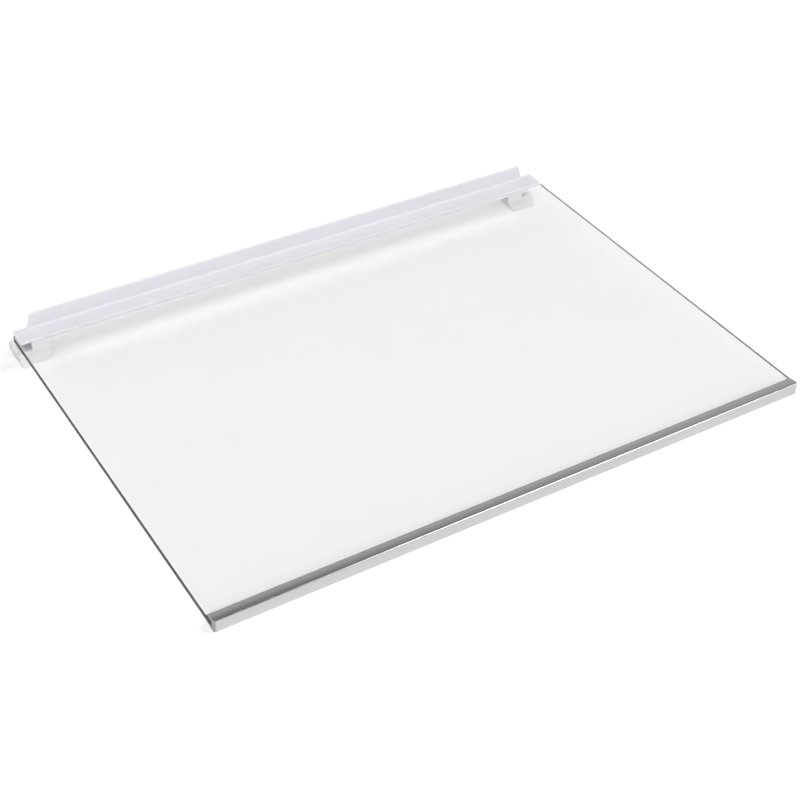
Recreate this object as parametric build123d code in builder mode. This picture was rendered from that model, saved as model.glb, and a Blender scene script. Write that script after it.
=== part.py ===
from build123d import *
import os
from math import atan2, cos, tan

# Glass shelf of a refrigerator, in millimetres: a glass plate held by a metal front trim and a plastic
# rear trim. +X is to the right as seen from the door, +Y to the cabinet's back wall and +Z up. The
# origin is below the middle of the shelf, on the plane of its feet.

# Glass plate
glass_width = 470.0
glass_depth = 332.0
glass_thickness = 4.0
glass_corner_radius = 3.0
glass_arris = 0.4  # flat ground along each edge

# Fit of the plate in the two trims: their flanges lie on the glass, their webs stay off its edge
edge_gap = 0.1

# Front trim, one extruded profile with a hollow chin
front_trim_inset = 0.8  # from the plate's side to the profile's sawn end
front_wall = 2.6
front_lip_depth = 8.1  # over the glass, from the front face
front_lip_thickness = 1.4  # at the front face
front_lip_tip = 0.9  # at the lip's rear edge
front_lip_crown = 0.25  # rise of the lip's top above a flat one
front_shelf_depth = 10.9  # under the glass, from the front face
front_shelf_thickness = 1.0
front_chin = 4.2  # from the glass's underside to the bottom of the front face
front_slope_wall = 1.0
front_nose_radius = 0.8
front_tip_radius = 0.6
front_chin_radius = 0.6
front_end_radius = 0.6  # on the outer edges of the sawn ends
front_end_sweep = 3.0  # length over which the front face curves back at each end
front_end_land = 1.4  # what is left of the front wall at the very end

# Rear trim, one moulding: a channel, an upstand along its back and a hooked foot under each end
rear_trim_inset = 1.4  # from the plate's side to the channel's end
rear_wall = 2.0
rear_flange_depth = 16.4  # over the glass, from the rear face
rear_flange_thickness = 2.1
rear_ledge_depth = 14.5  # under the glass, from the rear face
rear_ledge_thickness = 2.1
rear_nose_radius = 0.4  # on the flange's front edge
rear_edge_radius = 0.5  # on the ledge's long edges
rear_end_radius = 0.8  # on the flange's end edges

upstand_height = 12.2  # above the flange
upstand_thickness = 2.0
upstand_end_inset = 10.5  # from the channel's end to the upstand's foot
upstand_end_lean = 3.4  # how far each end leans in over its height
upstand_corner_radius = 2.0
upstand_edge_radius = 0.7
upstand_fillet = 1.6  # along the front of the upstand's foot

foot_drop = 21.5  # from the glass's underside to the foot's bottom
foot_end_inset = 0.6  # from the channel's end to the foot's outer side
foot_width = 24.7
foot_face_reach = 5.8  # from the rear face forwards to the foot's upright face
foot_toe_reach = 12.1  # from the rear face forwards to the toe's tip
foot_heel_reach = 18.2  # from the rear face backwards, as a spacer to the back wall
foot_base_height = 8.0  # of the toe and of the slot's floor
foot_heel_height = 6.2  # of the heel's upright end
foot_heel_radius = 3.0  # of the heel's top edge
foot_inner_radius = 7.5  # of the inner bottom edge, as seen from the front
foot_toe_radius = 4.0  # of the toe's outer corner, as seen from above
foot_edge_radius = 0.8
foot_wall = 2.2  # round the core pocket
core_radius = 1.5
rib_slot_depth = 11.2  # inwards from the channel's end
rib_slot_length = 13.7  # backwards from the foot's upright face

# Lines of the shelf
overall_depth = front_wall + edge_gap + glass_depth + edge_gap + rear_wall + foot_heel_reach
front_face_y = -overall_depth / 2
glass_front_y = front_face_y + front_wall + edge_gap
glass_rear_y = glass_front_y + glass_depth
rear_face_y = glass_rear_y + edge_gap + rear_wall
heel_y = rear_face_y + foot_heel_reach
toe_y = rear_face_y - foot_toe_reach
foot_face_y = rear_face_y - foot_face_reach
slot_rear_y = foot_face_y + rib_slot_length

glass_bottom_z = foot_drop
glass_top_z = glass_bottom_z + glass_thickness
flange_top_z = glass_top_z + rear_flange_thickness
ledge_bottom_z = glass_bottom_z - rear_ledge_thickness
slot_floor_z = foot_base_height

channel_end_x = glass_width / 2 - rear_trim_inset
slot_end_x = channel_end_x - rib_slot_depth
foot_outer_x = channel_end_x - foot_end_inset
foot_inner_x = foot_outer_x - foot_width

os.makedirs("parts", exist_ok=True)

pick = 0.01  # how near an edge's middle must be to a plane to count as lying on it


def lying_at(lines, axis, place):
    """Returns those edges whose middle lies at one place along an axis."""
    return lines.filter_by_position(axis, place - pick, place + pick)


def round_corner(place, radius):
    """Rounds the corner nearest to a place in the sketch that is open."""
    fillet(vertices().sort_by_distance(place)[0], radius)


def draw_rounding(corner, start, end):
    """Draws the area between a square corner and an arc from one of its sides to the other."""
    with BuildLine() as outline:
        TangentArc(start, end, tangent=(corner[0] - start[0], corner[1] - start[1]))
        Polyline(end, corner, start)
    make_face(outline.edges())


# The plate, with rounded corners and an arris along every edge.
with BuildPart() as glass_plate:
    with BuildSketch(Plane.XY.offset(glass_bottom_z)):
        with Locations((0, (glass_front_y + glass_rear_y) / 2)):
            RectangleRounded(glass_width, glass_depth, glass_corner_radius)
    extrude(amount=glass_thickness)
    rims = glass_plate.faces().sort_by(Axis.Z)
    chamfer(rims[0].edges() + rims[-1].edges(), glass_arris)
glass_plate.part.label = "glass_plate"
export_step(glass_plate.part, "parts/glass_plate.step")

# The front profile's section, walked from the lip's tip over the nose and the chin to the glass's slot.
front_trim_length = glass_width - 2 * front_trim_inset
lip_rear_y = front_face_y + front_lip_depth
shelf_rear_y = front_face_y + front_shelf_depth
front_web_y = front_face_y + front_wall
shelf_bottom_z = glass_bottom_z - front_shelf_thickness
chin_z = glass_bottom_z - front_chin
nose = (front_face_y, glass_top_z + front_lip_thickness)
lip_tip = (lip_rear_y, glass_top_z + front_lip_tip)
crown = (
    (nose[0] + lip_tip[0]) / 2,
    (nose[1] + lip_tip[1]) / 2 + front_lip_crown,
)
chin = (front_face_y, chin_z)
shelf_heel = (shelf_rear_y, shelf_bottom_z)
sweep_start = (front_trim_length / 2 - front_end_sweep, front_face_y)
sweep_end = (front_trim_length / 2, front_web_y - front_end_land)

# The chin's hollow is a wedge between the front wall, the shelf and the sloping underside.
slope = atan2(shelf_bottom_z - chin_z, front_shelf_depth)
hollow_low_z = chin_z + front_wall * tan(slope) + front_slope_wall / cos(slope)
hollow_rear_y = front_web_y + (shelf_bottom_z - hollow_low_z) / tan(slope)

with BuildPart() as front_trim:
    with BuildSketch(Plane.YZ.offset(-front_trim_length / 2)):
        with BuildLine():
            ThreePointArc(lip_tip, crown, nose)
            Polyline(
                nose,
                chin,
                shelf_heel,
                (shelf_rear_y, glass_bottom_z),
                (front_web_y, glass_bottom_z),
                (front_web_y, glass_top_z),
                (lip_rear_y, glass_top_z),
                lip_tip,
            )
        make_face()
        round_corner(nose, front_nose_radius)
        round_corner(lip_tip, front_tip_radius)
        round_corner(chin, front_chin_radius)
        with BuildLine():
            Polyline(
                (front_web_y, hollow_low_z),
                (hollow_rear_y, shelf_bottom_z),
                (front_web_y, shelf_bottom_z),
                close=True,
            )
        make_face(mode=Mode.SUBTRACT)
    extrude(amount=front_trim_length)
    for end_x in (-front_trim_length / 2, front_trim_length / 2):
        end_edges = lying_at(edges(), Axis.X, end_x)
        face_rim = end_edges.filter_by_position(Axis.Y, front_face_y - pick, front_web_y - pick)
        lip_rim = end_edges.filter_by_position(Axis.Z, glass_top_z + pick, nose[1] + front_lip_crown)
        fillet(face_rim + (lip_rim - face_rim), front_end_radius)

    # The front face curves back at both ends.
    with BuildSketch(Plane.XY.offset(chin_z)):
        draw_rounding((sweep_end[0], front_face_y), sweep_start, sweep_end)
        mirror(about=Plane.YZ)
    extrude(amount=nose[1] + front_lip_crown - chin_z, mode=Mode.SUBTRACT)
front_trim.part.label = "front_trim"
export_step(front_trim.part, "parts/front_trim.step")

# The rear moulding's channel is open towards the front.
rear_web_y = rear_face_y - rear_wall
flange_front_y = rear_face_y - rear_flange_depth
ledge_front_y = rear_face_y - rear_ledge_depth
upstand_front_y = rear_face_y - upstand_thickness
upstand_top_z = flange_top_z + upstand_height
upstand_foot_x = channel_end_x - upstand_end_inset
upstand_top_x = upstand_foot_x - upstand_end_lean
fillet_end_x = upstand_foot_x - upstand_end_lean * upstand_fillet / upstand_height

core_inner_x = foot_inner_x + foot_inner_radius + foot_wall
core_outer_x = foot_outer_x - foot_wall
core_front_y = foot_face_y + foot_wall
core_rear_y = heel_y - 2 * foot_wall

with BuildPart() as rear_trim:
    with BuildSketch(Plane.YZ.offset(-channel_end_x)):
        with BuildLine():
            Polyline(
                (flange_front_y, glass_top_z),
                (flange_front_y, flange_top_z),
                (rear_face_y, flange_top_z),
                (rear_face_y, ledge_bottom_z),
                (ledge_front_y, ledge_bottom_z),
                (ledge_front_y, glass_bottom_z),
                (rear_web_y, glass_bottom_z),
                (rear_web_y, glass_top_z),
                close=True,
            )
        make_face()
        round_corner((flange_front_y, flange_top_z), rear_nose_radius)
        round_corner((ledge_front_y, ledge_bottom_z), rear_edge_radius)
        round_corner((rear_face_y, ledge_bottom_z), rear_edge_radius)
    extrude(amount=2 * channel_end_x)
    flange_ends = edges().filter_by(Axis.Y).group_by(Axis.Z)[-1]
    fillet(flange_ends, rear_end_radius)

    # The upstand stands flush with the channel's back, its ends leaning in.
    with BuildSketch(Plane.XZ.offset(-rear_face_y)):
        with BuildLine():
            Polyline(
                (-upstand_foot_x, flange_top_z),
                (-upstand_top_x, upstand_top_z),
                (upstand_top_x, upstand_top_z),
                (upstand_foot_x, flange_top_z),
                close=True,
            )
        make_face()
        fillet(vertices().group_by(Axis.Y)[-1], upstand_corner_radius)
    extrude(amount=upstand_thickness)
    top_face = faces().sort_by(Axis.Z)[-1]
    fillet(top_face.edges().filter_by(Axis.X), upstand_edge_radius)
    with BuildSketch(Plane.YZ.offset(-fillet_end_x)):
        draw_rounding(
            (upstand_front_y, flange_top_z),
            (upstand_front_y - upstand_fillet, flange_top_z),
            (upstand_front_y, flange_top_z + upstand_fillet),
        )
    extrude(amount=2 * fillet_end_x)

    # The feet, drawn from the side: a sloping toe, an upright face and a back that slopes to the heel.
    with BuildSketch(Plane.YZ.offset(-foot_outer_x), Plane.YZ.offset(foot_inner_x)):
        with BuildLine():
            Polyline(
                (toe_y, 0),
                (heel_y, 0),
                (heel_y, foot_heel_height),
                (rear_face_y, glass_bottom_z),
                (foot_face_y, glass_bottom_z),
                (foot_face_y, foot_base_height),
                close=True,
            )
        make_face()
        round_corner((heel_y, foot_heel_height), foot_heel_radius)
        round_corner((heel_y, 0), foot_edge_radius)
        round_corner((toe_y, 0), foot_edge_radius)
    extrude(amount=foot_width)

    # Each foot is rounded along its inner bottom edge and at the toe's outer corner.
    with BuildSketch(Plane.XZ.offset(-heel_y)):
        draw_rounding(
            (foot_inner_x, 0),
            (foot_inner_x, foot_inner_radius),
            (foot_inner_x + foot_inner_radius, 0),
        )
        mirror(about=Plane.YZ)
    extrude(amount=foot_heel_reach + foot_toe_reach, mode=Mode.SUBTRACT)
    with BuildSketch(Plane.XY):
        draw_rounding(
            (foot_outer_x, toe_y),
            (foot_outer_x, toe_y + foot_toe_radius),
            (foot_outer_x - foot_toe_radius, toe_y),
        )
        mirror(about=Plane.YZ)
    extrude(amount=foot_base_height, mode=Mode.SUBTRACT)

    # A slot under the glass takes the cabinet's rib, and a pocket cores out the foot from below.
    with BuildSketch(Plane.XY.offset(slot_floor_z)):
        with Locations(((slot_end_x + channel_end_x) / 2, (ledge_front_y + slot_rear_y) / 2)):
            Rectangle(rib_slot_depth, slot_rear_y - ledge_front_y)
        mirror(about=Plane.YZ)
    extrude(amount=glass_bottom_z - slot_floor_z, mode=Mode.SUBTRACT)
    with BuildSketch(Plane.XY):
        with Locations(((core_inner_x + core_outer_x) / 2, (core_front_y + core_rear_y) / 2)):
            RectangleRounded(core_outer_x - core_inner_x, core_rear_y - core_front_y, core_radius)
        mirror(about=Plane.YZ)
    extrude(amount=foot_base_height - foot_wall, mode=Mode.SUBTRACT)
rear_trim.part.label = "rear_trim"
export_step(rear_trim.part, "parts/rear_trim.step")
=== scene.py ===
"""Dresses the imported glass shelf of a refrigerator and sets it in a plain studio."""

import logging
import math
from dataclasses import dataclass
from enum import Enum
from functools import reduce
from typing import Any, Mapping, Optional, Sequence, Union

import bmesh
import bpy
from mathutils import Matrix, Vector

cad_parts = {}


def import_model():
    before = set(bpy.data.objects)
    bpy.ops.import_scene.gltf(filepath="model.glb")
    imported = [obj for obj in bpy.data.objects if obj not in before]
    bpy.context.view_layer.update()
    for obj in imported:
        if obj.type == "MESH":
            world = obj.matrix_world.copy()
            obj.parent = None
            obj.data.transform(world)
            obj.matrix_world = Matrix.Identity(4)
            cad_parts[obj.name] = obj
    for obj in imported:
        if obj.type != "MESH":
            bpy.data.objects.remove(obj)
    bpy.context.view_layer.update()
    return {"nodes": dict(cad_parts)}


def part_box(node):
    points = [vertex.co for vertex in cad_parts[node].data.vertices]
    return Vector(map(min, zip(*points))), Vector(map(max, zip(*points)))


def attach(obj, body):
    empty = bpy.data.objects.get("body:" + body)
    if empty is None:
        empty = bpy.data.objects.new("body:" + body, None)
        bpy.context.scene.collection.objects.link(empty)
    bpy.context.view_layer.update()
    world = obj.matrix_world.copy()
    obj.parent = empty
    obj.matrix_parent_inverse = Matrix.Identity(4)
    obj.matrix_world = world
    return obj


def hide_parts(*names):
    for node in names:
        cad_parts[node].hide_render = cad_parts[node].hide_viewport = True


LOG = logging.getLogger("glass_shelf")
MM = 0.001
BODY = "root"

Colour = tuple[float, float, float]
Triple = tuple[float, float, float]
Span = tuple[float, float]
Box = tuple[Vector, Vector]

WHITE: Colour = (1.0, 1.0, 1.0)
GLASS_IOR = 1.52
PLASTIC_IOR = 1.50
PATTERN_MEAN = 0.5


class Piece(Enum):
    """The shelf's physical pieces, by the names of their solids."""

    GLASS = "glass_plate"
    FRONT = "front_trim"
    REAR = "rear_trim"


class Slot(Enum):
    """The record's material slots."""

    GLASS = "shelf_glass"
    ALUMINIUM = "front_aluminium"
    PLASTIC = "white_plastic"


class PlateFace(Enum):
    """The plate's kinds of face, by the index of their material."""

    POLISHED = 0
    GROUND = 1


class Ray(Enum):
    """Kinds of light path that a shader can tell apart."""

    CAMERA = "Is Camera Ray"
    SHADOW = "Is Shadow Ray"
    DIFFUSE = "Is Diffuse Ray"
    GLOSSY = "Is Glossy Ray"
    TRANSMISSION = "Is Transmission Ray"


class Value:
    """A shader's output socket that takes part in Python expressions."""

    def __init__(self, graph: "Graph", socket: bpy.types.NodeSocket) -> None:
        """Wraps one output socket of a graph."""
        self.graph = graph
        self.socket = socket

    def __add__(self, other: "Number") -> "Value":
        """Adds a value."""
        return self.graph.math("ADD", self, other)

    def __radd__(self, other: "Number") -> "Value":
        """Adds to a value."""
        return self.graph.math("ADD", other, self)

    def __sub__(self, other: "Number") -> "Value":
        """Takes a value away."""
        return self.graph.math("SUBTRACT", self, other)

    def __rsub__(self, other: "Number") -> "Value":
        """Takes this away from a value."""
        return self.graph.math("SUBTRACT", other, self)

    def __mul__(self, other: "Number") -> "Value":
        """Multiplies by a value."""
        return self.graph.math("MULTIPLY", self, other)

    def __rmul__(self, other: "Number") -> "Value":
        """Multiplies a value by this."""
        return self.graph.math("MULTIPLY", other, self)

    def __abs__(self) -> "Value":
        """Drops the sign."""
        return self.graph.math("ABSOLUTE", self)

    def most(self, other: "Number") -> "Value":
        """Gives the larger of two values."""
        return self.graph.math("MAXIMUM", self, other)

    def ranged(self, low: float, high: float) -> "Value":
        """Runs from a low value at 0 to a high one at 1."""
        return low + self * (high - low)

    def eased(self, low: float, high: float) -> "Value":
        """Rises smoothly from 0 at a low value to 1 at a high one.

        Args:
            low: Where the rise starts.
            high: Where the rise ends.

        Returns:
            The eased value, from 0 to 1.
        """
        limits = {"Value": self, "From Min": low, "From Max": high}
        return self.graph.value("ShaderNodeMapRange", {"interpolation_type": "SMOOTHSTEP"}, limits)


Number = Union[float, Value]
Shade = Union[Colour, Value]
Input = Union[float, Sequence[float], Value]


def rgba(colour: Colour) -> tuple[float, float, float, float]:
    """Adds full opacity to a colour."""
    return (*colour, 1.0)


class Graph:
    """Adds nodes to one shader tree."""

    def __init__(self, tree: bpy.types.NodeTree) -> None:
        """Empties a tree, so that only what is added here is in it."""
        self.tree = tree
        tree.nodes.clear()

    def node(
        self,
        kind: str,
        settings: Optional[Mapping[str, Any]] = None,
        inputs: Optional[Mapping[Union[str, int], Input]] = None,
    ) -> bpy.types.Node:
        """Adds a node.

        Args:
            kind: The node's type name.
            settings: Properties that are set before the sockets; "stops" are a ramp's places and colours.
            inputs: A number, a tuple or a link for each socket, by its name or its number.

        Returns:
            The new node.
        """
        made = self.tree.nodes.new(kind)
        for name, setting in (settings or {}).items():
            if name == "stops":
                self._set_stops(made.color_ramp, setting)
            else:
                setattr(made, name, setting)
        for key, given in (inputs or {}).items():
            if isinstance(given, Value):
                self.tree.links.new(given.socket, made.inputs[key])
            else:
                made.inputs[key].default_value = given
        return made

    @staticmethod
    def _set_stops(ramp: bpy.types.ColorRamp, stops: Sequence[tuple[float, Colour]]) -> None:
        """Gives a colour ramp its stops.

        Args:
            ramp: The ramp, which has two stops when it is new.
            stops: Each stop's place and colour, in order.
        """
        while len(ramp.elements) < len(stops):
            ramp.elements.new(1.0)
        for element, (place, colour) in zip(ramp.elements, stops):
            element.position = place
            element.color = rgba(colour)

    def value(
        self,
        kind: str,
        settings: Optional[Mapping[str, Any]] = None,
        inputs: Optional[Mapping[Union[str, int], Input]] = None,
        output: Union[str, int] = 0,
    ) -> Value:
        """Adds a node and wraps one of its outputs.

        Args:
            kind: The node's type name.
            settings: Properties that are set before the sockets.
            inputs: A number, a tuple or a link for each socket.
            output: The output's name or number.

        Returns:
            The wrapped output.
        """
        return Value(self, self.node(kind, settings, inputs).outputs[output])

    def math(self, operation: str, *terms: Number) -> Value:
        """Adds one step of arithmetic."""
        return self.value("ShaderNodeMath", {"operation": operation}, dict(enumerate(terms)))

    def places(self) -> Value:
        """Gives places on the object in metres."""
        return self.value("ShaderNodeTexCoord", output="Object")

    def along(self, axis: str) -> Value:
        """Gives one coordinate of the place on the object, in metres."""
        return self.value("ShaderNodeSeparateXYZ", inputs={0: self.places()}, output=axis)

    def facing(self, axis: str) -> Value:
        """Gives one component of the surface's own direction."""
        normal = self.value("ShaderNodeNewGeometry", output="Normal")
        return self.value("ShaderNodeSeparateXYZ", inputs={0: normal}, output=axis)

    def behind(self) -> Value:
        """Gives 1 on the back of a face, and 0 on its front."""
        return self.value("ShaderNodeNewGeometry", output="Backfacing")

    def ray(self, *kinds: Ray) -> Value:
        """Gives 1 on light paths of any of the named kinds, and 0 on others."""
        path = self.node("ShaderNodeLightPath")
        return reduce(Value.most, (Value(self, path.outputs[kind.value]) for kind in kinds))

    def blend(self, share: Value, first: Shade, second: Shade) -> Value:
        """Mixes two colours.

        Args:
            share: How much of the second colour is in the mix.
            first: The colour at 0.
            second: The colour at 1.

        Returns:
            The mixed colour.
        """
        first, second = (shade if isinstance(shade, Value) else rgba(shade) for shade in (first, second))
        return self.value("ShaderNodeMix", {"data_type": "RGBA"}, {0: share, 6: first, 7: second}, 2)

    def relief(self, height: Value, depth: float) -> Value:
        """Turns a height into a bumped surface direction.

        Args:
            height: The relief, where 1 is its full depth.
            depth: The relief's full depth in metres.

        Returns:
            The direction for a shader's Normal socket.
        """
        return self.value("ShaderNodeBump", inputs={"Height": height, "Distance": depth, "Strength": 1.0})

    def principled(self, inputs: Mapping[str, Input]) -> Value:
        """Adds the surface shader with the given sockets."""
        return self.value("ShaderNodeBsdfPrincipled", inputs=inputs)

    def matt(self, colour: Colour) -> Value:
        """Adds a surface without any gloss."""
        return self.principled({"Base Color": rgba(colour), "Roughness": 1.0, "Specular IOR Level": 0.0})

    def clear(self, colour: Colour = WHITE) -> Value:
        """Adds a surface that light goes straight through and that gives it a colour."""
        return self.value("ShaderNodeBsdfTransparent", inputs={"Color": rgba(colour)})

    def mixed(self, share: Number, first: Value, second: Value) -> Value:
        """Mixes two shaders, with the second one's share."""
        return self.value("ShaderNodeMixShader", inputs={0: share, 1: first, 2: second})

    def surface(self, shader: Value, output: str = "ShaderNodeOutputMaterial") -> None:
        """Makes a shader the surface of the tree, through an output node of the given type."""
        self.node(output, inputs={"Surface": shader})


@dataclass(frozen=True)
class Pattern:
    """Soft random variation over a surface, mostly from 0.25 to 0.75.

    Attributes:
        waves: Waves per metre along X, Y and Z.
        detail: How many finer octaves are added.
        roughness: How strong the finer octaves are.
    """

    waves: Triple
    detail: float = 2.0
    roughness: float = 0.5

    def on(self, graph: Graph) -> Value:
        """Reads the pattern at each place on the object.

        Args:
            graph: The material's graph.

        Returns:
            The pattern's level.
        """
        places = graph.value(
            "ShaderNodeVectorMath", {"operation": "MULTIPLY"}, {0: graph.places(), 1: self.waves}
        )
        inputs = {"Vector": places, "Scale": 1.0, "Detail": self.detail, "Roughness": self.roughness}
        return graph.value("ShaderNodeTexNoise", {"noise_dimensions": "3D"}, inputs)


class Finish:
    """A procedural surface finish."""

    name = "finish"

    def material(self) -> bpy.types.Material:
        """Makes the finish's material.

        Returns:
            The material, with the finish's shader as its surface.
        """
        made = bpy.data.materials.new(self.name)
        made.use_nodes = True
        graph = Graph(made.node_tree)
        graph.surface(self.shade(graph))
        return made

    def shade(self, graph: Graph) -> Value:
        """Builds the finish's shader in a graph."""
        raise NotImplementedError


@dataclass(frozen=True)
class PolishedGlass(Finish):
    """The clear faces of a toughened float glass plate.

    Attributes:
        tint: What one face lets through.
        wipes: The marks that wiping leaves.
        wiped: Levels of those marks between which the smear sets in.
        smear: Roughness of the smear.
        waves: The slow waves that toughening leaves.
        wave_depth: Height of those waves.
    """

    tint: Colour = (0.953, 0.952, 0.956)
    wipes: Pattern = Pattern((9.0, 38.0, 9.0), 4.0, 0.6)
    wiped: Span = (0.45, 0.8)
    smear: float = 0.012
    waves: Pattern = Pattern((14.0, 14.0, 14.0), 1.0)
    wave_depth: float = 0.002 * MM

    name = "polished_glass"

    def shade(self, graph: Graph) -> Value:
        """Builds clear glass that lets the lamps' light through to what lies below.

        Args:
            graph: The material's graph.

        Returns:
            The finished shader.
        """
        glass = graph.principled(
            {
                "Base Color": rgba(self.tint),
                "Roughness": self.wipes.on(graph).eased(*self.wiped) * self.smear,
                "IOR": GLASS_IOR,
                "Transmission Weight": 1.0,
                "Normal": graph.relief(self.waves.on(graph), self.wave_depth),
            }
        )
        return graph.mixed(graph.ray(Ray.SHADOW, Ray.DIFFUSE), glass, graph.clear(self.tint))


@dataclass(frozen=True)
class GroundEdge(Finish):
    """The plate's ground edges, dark because they look into the depth of the glass.

    Attributes:
        deep: Colour of the darkest glass.
        pale: Colour where the grinding scatters more light.
        inner: Painted light: a paler colour for the edge as it is seen through the plate.
        passing: The share of the lamps' light that goes through the edge.
        marks: The grinding marks, which run along the edge.
        mark_depth: Depth of the grinding marks.
        patches: Stretches that are ground finer or coarser.
        mark_share: The marks' part in the colour; the patches have the rest.
        paling: Levels between which deep turns to pale.
        sheen: Mean roughness of the ground surface.
        sheen_spread: How much the marks change the roughness.
        gloss: Strength of its mirror-like share.
    """

    deep: Colour = (0.064, 0.066, 0.065)
    pale: Colour = (0.122, 0.125, 0.123)
    inner: Colour = (0.280, 0.283, 0.281)
    passing: Colour = (0.86, 0.87, 0.87)
    marks: Pattern = Pattern((120.0, 120.0, 2600.0), 3.0, 0.6)
    mark_depth: float = 0.006 * MM
    patches: Pattern = Pattern((60.0, 60.0, 60.0), 3.0)
    mark_share: float = 0.6
    paling: Span = (0.35, 0.65)
    sheen: float = 0.42
    sheen_spread: float = 0.2
    gloss: float = 0.02

    name = "ground_glass_edge"

    def shade(self, graph: Graph) -> Value:
        """Builds satin dark glass with marks that run along the edge, and its inside, painted paler as
        light.

        Args:
            graph: The material's graph.

        Returns:
            The finished shader.
        """
        marks, patches = self.marks.on(graph), self.patches.on(graph)
        share = (marks * self.mark_share + patches * (1.0 - self.mark_share)).eased(*self.paling)
        outside = graph.principled(
            {
                "Base Color": graph.blend(share, self.deep, self.pale),
                "Roughness": self.sheen + (marks - PATTERN_MEAN) * self.sheen_spread,
                "IOR": GLASS_IOR,
                "Specular IOR Level": self.gloss,
                "Normal": graph.relief(marks, self.mark_depth),
            }
        )
        # Painted light: the back of the edge, seen through the plate, gets a paler matt colour.
        edge = graph.mixed(graph.behind(), outside, graph.matt(self.inner))
        return graph.mixed(graph.ray(Ray.SHADOW, Ray.DIFFUSE), edge, graph.clear(self.passing))


@dataclass(frozen=True)
class SatinAluminium(Finish):
    """Anodised aluminium with the fine lines that drawing leaves along a profile.

    Attributes:
        line: Colour in the drawing lines.
        land: Colour between the lines.
        painted_end_shade: Painted shade: the darker colour of the saw-cut ends, which turn to the side.
        lines: The drawing lines.
        line_depth: Depth of the drawing lines and the saw's marks.
        cloud: Faint clouds in the anodised skin.
        line_share: The lines' part in the colour; the clouds have the rest.
        landing: Levels between which line turns to land.
        sheen: Mean roughness of the anodised skin.
        line_spread: How much the lines change the roughness.
        cloud_spread: How much the clouds change the roughness.
        saw_marks: The marks that the saw leaves on the ends.
        sawn_sheen: Mean roughness of the saw-cut ends.
        saw_spread: How much the saw's marks change that roughness.
        end_turn: How far a face turns to the side as the skin gives way to a saw-cut end with painted
            shade.
    """

    line: Colour = (0.56, 0.56, 0.565)
    land: Colour = (0.65, 0.65, 0.655)
    painted_end_shade: Colour = (0.34, 0.34, 0.35)
    lines: Pattern = Pattern((3.0, 2400.0, 2400.0), 3.0, 0.65)
    line_depth: float = 0.004 * MM
    cloud: Pattern = Pattern((6.0, 40.0, 40.0), 3.0)
    line_share: float = 0.75
    landing: Span = (0.3, 0.7)
    sheen: float = 0.17
    line_spread: float = 0.16
    cloud_spread: float = 0.08
    saw_marks: Pattern = Pattern((60.0, 700.0, 2800.0))
    sawn_sheen: float = 0.42
    saw_spread: float = 0.2
    end_turn: Span = (0.12, 0.5)

    name = "satin_aluminium"

    def shade(self, graph: Graph) -> Value:
        """Builds the drawn skin and the rougher saw-cut ends, which carry painted shade.

        Args:
            graph: The material's graph.

        Returns:
            The finished shader.
        """
        lines, cloud, saw_marks = self.lines.on(graph), self.cloud.on(graph), self.saw_marks.on(graph)
        share = (lines * self.line_share + cloud * (1.0 - self.line_share)).eased(*self.landing)
        uneven = (lines - PATTERN_MEAN) * self.line_spread + (cloud - PATTERN_MEAN) * self.cloud_spread
        skin = graph.principled(
            {
                "Base Color": graph.blend(share, self.line, self.land),
                "Metallic": 1.0,
                "Roughness": self.sheen + uneven,
                "Normal": graph.relief(lines, self.line_depth),
            }
        )
        # Painted shade: the ends turned to the side get a darker colour.
        end_with_painted_shade = graph.principled(
            {
                "Base Color": rgba(self.painted_end_shade),
                "Metallic": 1.0,
                "Roughness": self.sawn_sheen + (saw_marks - PATTERN_MEAN) * self.saw_spread,
                "Normal": graph.relief(saw_marks, self.line_depth),
            }
        )
        return graph.mixed(abs(graph.facing("X")).eased(*self.end_turn), skin, end_with_painted_shade)


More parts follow.
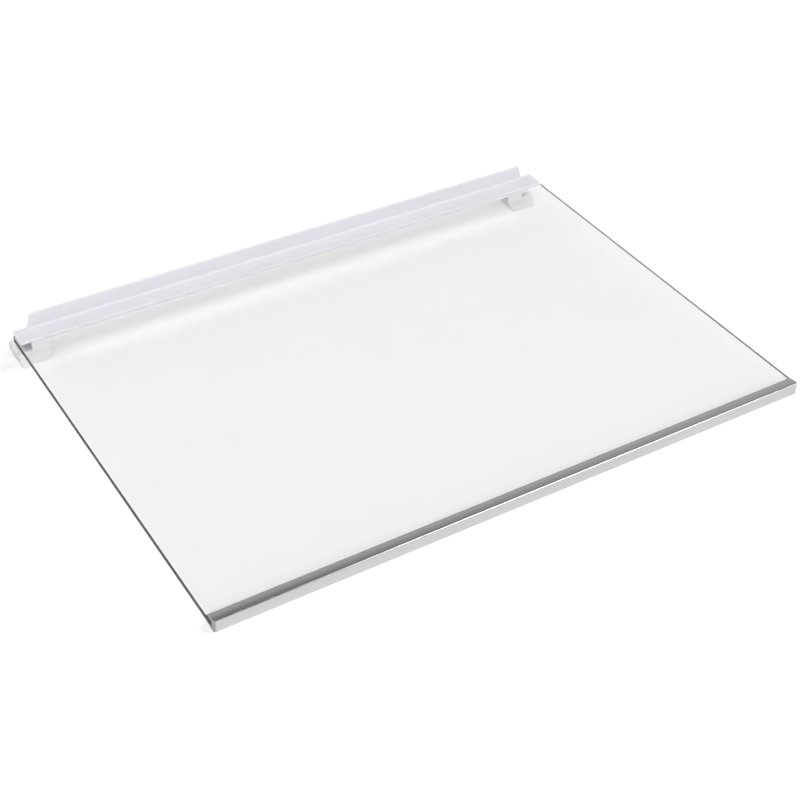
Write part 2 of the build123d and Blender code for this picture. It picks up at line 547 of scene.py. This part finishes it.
@dataclass(frozen=True)
class MouldedPlastic(Finish):
    """White moulded plastic with a fine grain and a faint lilac cast.

    Attributes:
        covered_from: Height below which the plate covers the plastic.
        slot_reach: Distance from the middle to the slots' open sides.
        light: Colour on the grain's tops.
        dull: Colour in the grain and in faint clouds.
        painted_light_below_plate: Painted light: a lighter, neutral colour on the ledge and the feet
            under the plate, standing in for light that reaches them there.
        painted_side_and_base_shade: Painted shade on the feet's sides and bases.
        painted_slot_shade: Painted shade in the slots.
        base_top: Height of the feet's bases.
        base_fade: Heights above the bases' tops between which their painted shade fades out.
        slot_front: Depth at which the slots start.
        slot_run: Length behind the slots' fronts in which their painted shade sets in.
        slot_mouth: Distances inside the slots' open sides between which their painted shade sets in.
        fade: Width of the seam between two colours.
        side_turn: How far a face turns to the side as it becomes a foot's side.
        back_turn: How far a face turns to the rear as it stops being a slot's.
        side_shade: The sides' painted shade where the clouds are thinnest and thickest.
        base_shade: The bases' painted shade where the clouds are thinnest and thickest.
        grain: The moulded grain.
        grain_depth: Depth of the moulded grain.
        flow: Clouds along the way that the plastic flowed.
        grain_share: The grain's part in the colour; the clouds have the rest.
        lightening: Levels between which dull turns to light.
        sheen: Mean roughness.
        grain_spread: How much the grain changes the roughness.
        flow_spread: How much the clouds change the roughness.
        glow: Share of the light that goes through the plastic before it comes out.
        glow_depth: How far that light goes.
    """

    covered_from: float
    slot_reach: float
    light: Colour = (0.722, 0.712, 0.750)
    dull: Colour = (0.685, 0.677, 0.719)
    painted_light_below_plate: Colour = (0.860, 0.860, 0.863)
    painted_side_and_base_shade: Colour = (0.610, 0.610, 0.615)
    painted_slot_shade: Colour = (0.430, 0.430, 0.440)
    base_top: float = 8.0 * MM
    base_fade: Span = (-2.0 * MM, 0.4 * MM)
    slot_front: float = 153.5 * MM
    slot_run: float = 4.0 * MM
    slot_mouth: Span = (3.0 * MM, 9.0 * MM)
    fade: float = 0.5 * MM
    side_turn: Span = (0.7, 0.9)
    back_turn: Span = (0.1, 0.4)
    side_shade: Span = (0.7, 1.3)
    base_shade: Span = (0.3, 0.8)
    grain: Pattern = Pattern((2600.0, 2600.0, 2600.0), 2.0, 0.55)
    grain_depth: float = 0.010 * MM
    flow: Pattern = Pattern((5.0, 30.0, 30.0), 3.0)
    grain_share: float = 0.35
    lightening: Span = (0.3, 0.7)
    sheen: float = 0.44
    grain_spread: float = 0.14
    flow_spread: float = 0.10
    glow: float = 0.3
    glow_depth: float = 2.0 * MM

    name = "white_moulded_plastic"

    def foot(self, graph: Graph, height: Value, flow: Value) -> Value:
        """Colours the feet, with painted shade on their sides, their bases and in the slots.

        Args:
            graph: The material's graph.
            height: Height on the moulding.
            flow: Level of the clouds.

        Returns:
            The feet's colour.
        """
        # Painted shade: faces turned to the side and the bases get a darker colour.
        side = abs(graph.facing("X")).eased(*self.side_turn) * flow.ranged(*self.side_shade)
        base_low, base_high = (self.base_top + step for step in self.base_fade)
        base = (1.0 - height.eased(base_low, base_high)) * flow.ranged(*self.base_shade)
        outside = graph.blend(side.most(base), self.painted_light_below_plate, self.painted_side_and_base_shade)
        # Painted shade in the slots, on faces that do not face the rear.
        mouth, inside = (self.slot_reach - step for step in self.slot_mouth)
        inner = 1.0 - abs(graph.along("X")).eased(inside, mouth)
        rear = graph.along("Y").eased(self.slot_front - self.fade, self.slot_front + self.slot_run)
        raised = height.eased(self.base_top - self.fade, self.base_top)
        hidden = 1.0 - graph.facing("Y").eased(*self.back_turn)
        return graph.blend(rear * inner * raised * hidden, outside, self.painted_slot_shade)

    def shade(self, graph: Graph) -> Value:
        """Builds the grained plastic, with painted light and painted shade under the plate.

        Args:
            graph: The material's graph.

        Returns:
            The finished shader.
        """
        grain, flow, height = self.grain.on(graph), self.flow.on(graph), graph.along("Z")
        share = (grain * self.grain_share + flow * (1.0 - self.grain_share)).eased(*self.lightening)
        top = graph.blend(share, self.dull, self.light)
        # Painted light: below the plate's underside the ledge and the feet get a lighter colour.
        covered = 1.0 - height.eased(self.covered_from - self.fade, self.covered_from + self.fade)
        uneven = (grain - PATTERN_MEAN) * self.grain_spread + (flow - PATTERN_MEAN) * self.flow_spread
        return graph.principled(
            {
                "Base Color": graph.blend(covered, top, self.foot(graph, height, flow)),
                "Subsurface Weight": self.glow,
                "Subsurface Radius": (1.0, 1.0, 1.0),
                "Subsurface Scale": self.glow_depth,
                "Roughness": self.sheen + uneven,
                "IOR": PLASTIC_IOR,
                "Normal": graph.relief(grain, self.grain_depth),
            }
        )


@dataclass(frozen=True)
class StudioFloor(Finish):
    """A white table top that keeps soft shadows.

    Attributes:
        shaded: The share of the picture that shows the table's own light and shadow.
    """

    shaded: float = 0.68

    name = "white_table"

    def shade(self, graph: Graph) -> Value:
        """Builds the table, which looks white in pictures, mirrors and glass, and clear from below.

        Args:
            graph: The material's graph.

        Returns:
            The finished shader.
        """
        paper = graph.value("ShaderNodeEmission", inputs={"Color": rgba(WHITE), "Strength": 1.0})
        seen = graph.ray(Ray.CAMERA, Ray.GLOSSY, Ray.TRANSMISSION)
        table = graph.mixed(seen * (1.0 - self.shaded), graph.matt(WHITE), paper)
        return graph.mixed(graph.behind(), table, graph.clear())


def set_material(piece: bpy.types.Object, material: bpy.types.Material) -> None:
    """Gives a piece one material in place of its own."""
    piece.data.materials.clear()
    piece.data.materials.append(material)


@dataclass
class GlassPlate:
    """The plate, as a closed mesh with ground edges.

    Attributes:
        box: The plate's lowest and highest corners.
        corner_radius: Radius of the four corners.
        arris: Width of the flat along each edge.
        seat_gap: Film of air between the faces and what they lie on.
        corner_steps: Facets in each corner.
        name: The name of the mesh.
    """

    box: Box
    corner_radius: float = 3.0 * MM
    arris: float = 0.4 * MM
    seat_gap: float = 0.02 * MM
    corner_steps: int = 16
    name: str = "glass_plate_visual"

    def outline(self, inset: float) -> list[tuple[float, float]]:
        """Draws the plate's outline, counter-clockwise.

        Args:
            inset: How far inside the plate's sides the outline runs.

        Returns:
            The outline's points.
        """
        low, high = self.box
        radius = self.corner_radius
        reach = radius - inset
        centres = (
            (high.x - radius, high.y - radius),
            (low.x + radius, high.y - radius),
            (low.x + radius, low.y + radius),
            (high.x - radius, low.y + radius),
        )
        points = []
        for quarter, (x, y) in enumerate(centres):
            for step in range(self.corner_steps + 1):
                angle = (quarter + step / self.corner_steps) * math.pi / 2
                points.append((x + reach * math.cos(angle), y + reach * math.sin(angle)))
        return points

    def build(self) -> bpy.types.Object:
        """Builds the plate's mesh.

        Returns:
            The plate, in place, with a material index on each kind of face.
        """
        low, high = self.box
        bottom, top = low.z + self.seat_gap, high.z - self.seat_gap
        levels = (
            (bottom, self.arris),
            (bottom + self.arris, 0.0),
            (top - self.arris, 0.0),
            (top, self.arris),
        )
        work = bmesh.new()
        rings = [[work.verts.new((x, y, z)) for x, y in self.outline(inset)] for z, inset in levels]
        for lower, upper in zip(rings, rings[1:]):
            for here in range(len(lower)):
                ahead = (here + 1) % len(lower)
                side = work.faces.new((lower[here], lower[ahead], upper[ahead], upper[here]))
                side.material_index = PlateFace.GROUND.value
        work.faces.new(rings[-1])
        work.faces.new(reversed(rings[0]))
        mesh = bpy.data.meshes.new(self.name)
        work.to_mesh(mesh)
        work.free()
        plate = bpy.data.objects.new(self.name, mesh)
        bpy.context.scene.collection.objects.link(plate)
        return plate

    def dress(self) -> None:
        """Builds the plate, finishes it and sets it in the place of its solid."""
        plate = self.build()
        finishes = {PlateFace.POLISHED: PolishedGlass(), PlateFace.GROUND: GroundEdge()}
        for face in PlateFace:
            plate.data.materials.append(finishes[face].material())
        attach(plate, BODY)
        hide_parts(Piece.GLASS.value)
        LOG.info("%s: %d faces", plate.name, len(plate.data.polygons))


@dataclass
class FrontTrim:
    """The drawn profile along the plate's front edge.

    Attributes:
        solid: The profile's own mesh object.
    """

    solid: bpy.types.Object

    def dress(self) -> None:
        """Gives the profile its anodised finish."""
        set_material(self.solid, SatinAluminium().material())
        LOG.info("%s: %d faces", self.solid.name, len(self.solid.data.polygons))


@dataclass
class RearTrim:
    """The moulding along the plate's rear edge, with its upstand and feet.

    Attributes:
        solid: The moulding's own mesh object.
        covered_from: Height of the plate's underside.
        reach: Distance from the middle to the moulding's ends.
    """

    solid: bpy.types.Object
    covered_from: float
    reach: float

    def dress(self) -> None:
        """Gives the moulding its grained finish."""
        set_material(self.solid, MouldedPlastic(self.covered_from, self.reach).material())
        LOG.info("%s: %d faces", self.solid.name, len(self.solid.data.polygons))


def heading(azimuth: float, elevation: float) -> Vector:
    """Points from the shelf to somewhere in the studio.

    Args:
        azimuth: Degrees from straight in front, positive to the right.
        elevation: Degrees above the table.

    Returns:
        The direction, of length 1.
    """
    turn, rise = math.radians(azimuth), math.radians(elevation)
    return Vector((math.sin(turn) * math.cos(rise), -math.cos(turn) * math.cos(rise), math.sin(rise)))


@dataclass(frozen=True)
class Softbox:
    """A square studio lamp that points at the shelf.

    Attributes:
        name: The lamp's name.
        azimuth: Degrees from straight in front, positive to the right.
        elevation: Degrees above the table.
        distance: From the shelf's middle to the lamp.
        side: Length of the lamp's side.
        light: Its share of the light on the table, where 1 lights white to white.
    """

    name: str
    azimuth: float
    elevation: float
    distance: float
    side: float
    light: float

    def hang(self, target: Vector) -> None:
        """Hangs the lamp.

        Args:
            target: Where the lamp points.
        """
        lamp = bpy.data.lights.new(self.name, "AREA")
        lamp.shape = "SQUARE"
        lamp.size = self.side
        slant = math.sin(math.radians(self.elevation))
        lamp.energy = self.light * math.pi**2 * self.distance**2 / slant
        holder = bpy.data.objects.new(self.name, lamp)
        way = heading(self.azimuth, self.elevation)
        holder.location = target + way * self.distance
        holder.rotation_euler = way.to_track_quat("Z", "Y").to_euler()
        bpy.context.scene.collection.objects.link(holder)
        LOG.info("%s: %.1f W", self.name, lamp.energy)


@dataclass(frozen=True)
class StudioCamera:
    """The camera at the photograph's place.

    Attributes:
        target: The point in the middle of the picture.
        azimuth: Degrees from straight in front, positive to the right.
        elevation: Degrees above the shelf's own level.
        distance: From the target to the camera.
        roll: Degrees that the camera leans.
        lens: Focal length in millimetres on a sensor of the width below.
        sensor: The sensor's width in millimetres.
    """

    target: Triple = (-25.2 * MM, -49.6 * MM, 25.5 * MM)
    azimuth: float = -32.40
    elevation: float = 38.66
    distance: float = 1110.0 * MM
    roll: float = 1.67
    lens: float = 70.52
    sensor: float = 36.0

    def set_up(self) -> None:
        """Makes the camera and gives it to the scene."""
        data = bpy.data.cameras.new("studio_camera")
        data.lens = self.lens
        data.sensor_width = self.sensor
        holder = bpy.data.objects.new("studio_camera", data)
        back = heading(self.azimuth, self.elevation)
        holder.location = Vector(self.target) + back * self.distance
        level = back.to_track_quat("Z", "Y").to_matrix()
        lean = Matrix.Rotation(math.radians(self.roll), 3, "Z")
        holder.rotation_euler = (level @ lean).to_euler()
        bpy.context.scene.collection.objects.link(holder)
        bpy.context.scene.camera = holder


@dataclass(frozen=True)
class Studio:
    """The table, the lamps, the room's own light and the camera.

    Attributes:
        front_rest: Depth and height at which the front trim stands on the table.
        rear_rest: Depth and height at which the feet stand on the table.
        middle: The shelf's middle, which the lamps point at.
        reach: Half the table's side.
        room: The room's light level at each height, from 0 at the table's to 1 overhead.
        camera: The photograph's camera.
        lamps: The lamps.
    """

    front_rest: Span
    rear_rest: Span
    middle: Triple = (0.0, 0.0, 0.0)
    reach: float = 20.0
    room: tuple[Span, ...] = (
        (0.0, 0.70),
        (0.30, 0.70),
        (0.62, 0.45),
        (0.76, 0.15),
        (0.90, 0.15),
        (1.0, 0.50),
    )
    camera: StudioCamera = StudioCamera()
    lamps: tuple[Softbox, ...] = (
        Softbox("front_softbox", -26.0, 48.0, 7.0, 4.6, 0.44),
        Softbox("side_softbox", 68.0, 58.0, 12.0, 3.9, 0.25),
        Softbox("rear_softbox", -150.0, 42.0, 12.0, 8.0, 0.12),
    )

    def lay_table(self) -> None:
        """Lays the table under the points that the shelf stands on."""
        front_y, front_z = self.front_rest
        rear_y, rear_z = self.rear_rest
        slope = (rear_z - front_z) / (rear_y - front_y)
        corners = []
        for x, y in ((-1, -1), (1, -1), (1, 1), (-1, 1)):
            depth = y * self.reach
            corners.append((x * self.reach, depth, front_z + slope * (depth - front_y)))
        mesh = bpy.data.meshes.new("table")
        mesh.from_pydata(corners, [], [(0, 1, 2, 3)])
        table = bpy.data.objects.new("table", mesh)
        bpy.context.scene.collection.objects.link(table)
        set_material(table, StudioFloor().material())

    def light_room(self) -> None:
        """Lights the room, darker half way up than at the table and overhead, and white in pictures."""
        world = bpy.data.worlds.new("studio_room")
        world.use_nodes = True
        graph = Graph(world.node_tree)
        way = graph.value("ShaderNodeTexCoord", output="Generated")
        height = graph.value("ShaderNodeSeparateXYZ", inputs={0: way}, output="Z")
        stops = [(place, (level,) * 3) for place, level in self.room]
        tone = graph.value("ShaderNodeValToRGB", {"stops": stops}, {0: height}, "Color")
        room, white = (
            graph.value("ShaderNodeBackground", inputs={"Color": colour, "Strength": 1.0})
            for colour in (tone, rgba(WHITE))
        )
        graph.surface(graph.mixed(graph.ray(Ray.CAMERA), room, white), "ShaderNodeOutputWorld")
        bpy.context.scene.world = world

    def set_up(self) -> None:
        """Sets up the whole studio."""
        self.lay_table()
        self.light_room()
        for lamp in self.lamps:
            lamp.hang(Vector(self.middle))
        self.camera.set_up()
        bpy.context.scene.view_settings.view_transform = "Standard"


def main() -> None:
    """Dresses the shelf's pieces in order and sets up the studio."""
    logging.basicConfig(level=logging.INFO, format="%(name)s: %(message)s")
    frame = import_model()
    plate, front, rear = (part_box(piece.value) for piece in (Piece.GLASS, Piece.FRONT, Piece.REAR))
    GlassPlate(plate).dress()
    FrontTrim(frame["nodes"][Piece.FRONT.value]).dress()
    RearTrim(frame["nodes"][Piece.REAR.value], covered_from=plate[0].z, reach=rear[1].x).dress()
    Studio((front[0].y, front[0].z), (rear[0].y, rear[0].z)).set_up()


if __name__ == "__main__":
    main()
